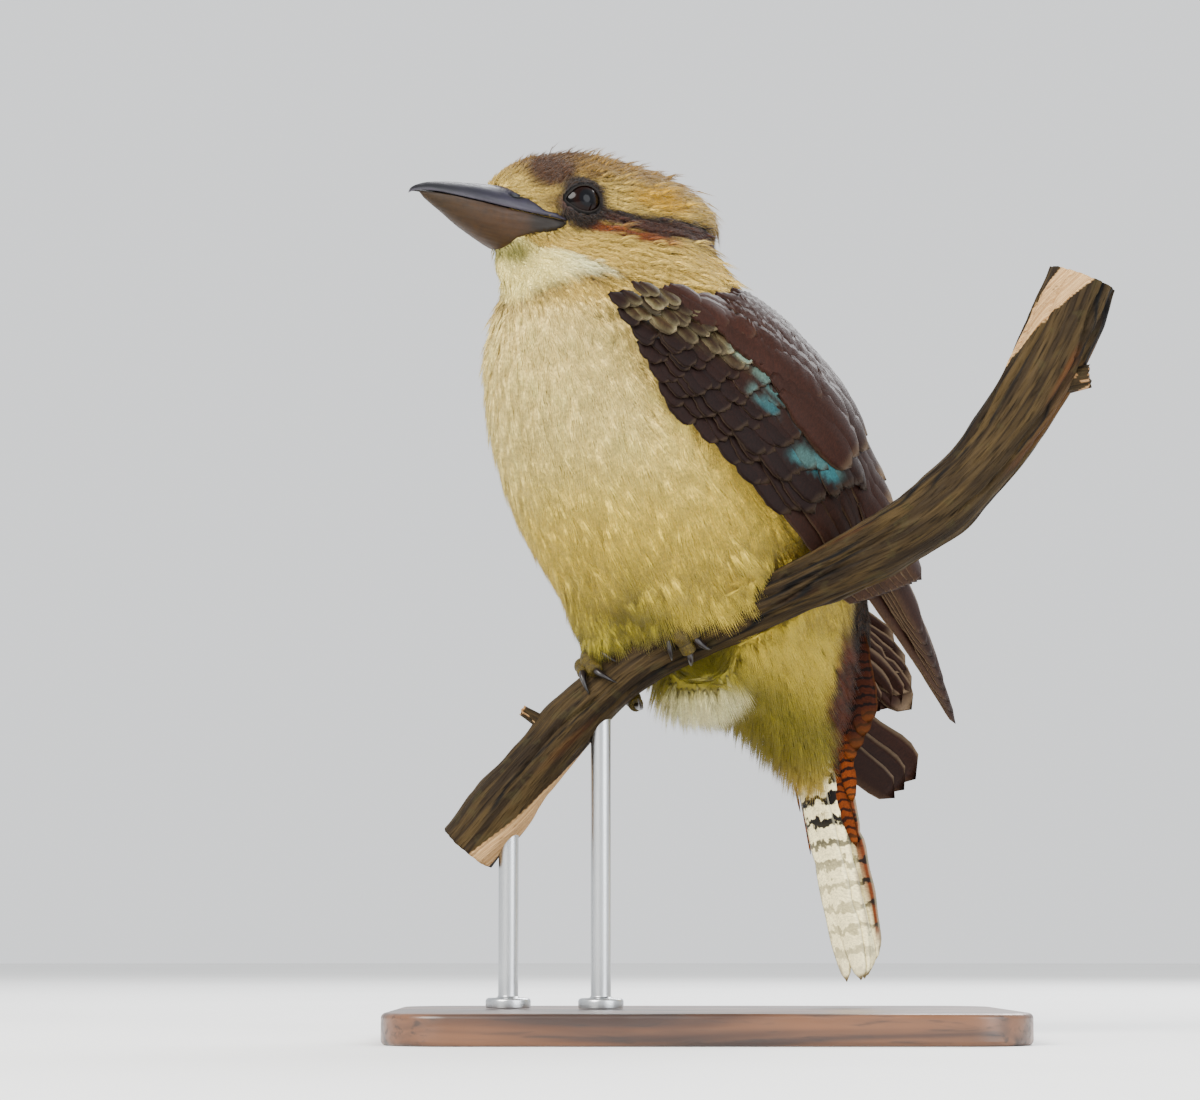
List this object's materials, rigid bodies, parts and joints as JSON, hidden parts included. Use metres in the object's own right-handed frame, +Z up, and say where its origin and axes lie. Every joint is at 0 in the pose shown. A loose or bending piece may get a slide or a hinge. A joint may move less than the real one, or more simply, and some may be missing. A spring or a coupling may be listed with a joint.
{
  "type": "laughing kookaburra model",
  "caption": "Life-size laughing kookaburra gripping a short cut length of branch that a plain display stand holds up.",
  "frame": {"origin": "middle of the stand base's underside", "axes": "+Z up; +X to the right of someone looking along +Y at the side the picture shows; the bird's bill points towards -X and a little towards -Y"},
  "size_m": [0.2809, 0.2102, 0.3537],
  "materials": {
    "plumage_head": "soft barbed feathers, no sheen",
    "plumage_body": "soft fluffy feathers with fine bars",
    "plumage_wing": "smooth vaned feathers, faint sheen",
    "plumage_tail": "smooth vaned feathers with dark bars",
    "bill_dark": "horn, satin",
    "bill_horn": "horn, satin",
    "eye": "wet gloss",
    "foot": "scaly skin",
    "bark": "rough weathered bark",
    "stand_wood": "dark stain, satin",
    "stand_steel": "brushed"
  },
  "bodies": {
    "root": {"head": "plumage_head", "neck": "plumage_head", "torso": "plumage_body", "rump": "plumage_body", "bill_upper": "bill_dark", "bill_lower": "bill_horn", "eye_left": "eye", "eye_right": "eye", "wing_left": "plumage_wing", "wing_right": "plumage_wing", "thigh_left": "plumage_body", "thigh_right": "plumage_body", "foot_left": "foot", "foot_right": "foot", "tail": "plumage_tail", "perch": "bark", "stand_base": "stand_wood", "stand_rod_1": "stand_steel", "stand_rod_2": "stand_steel"}
  },
  "joints": []
}
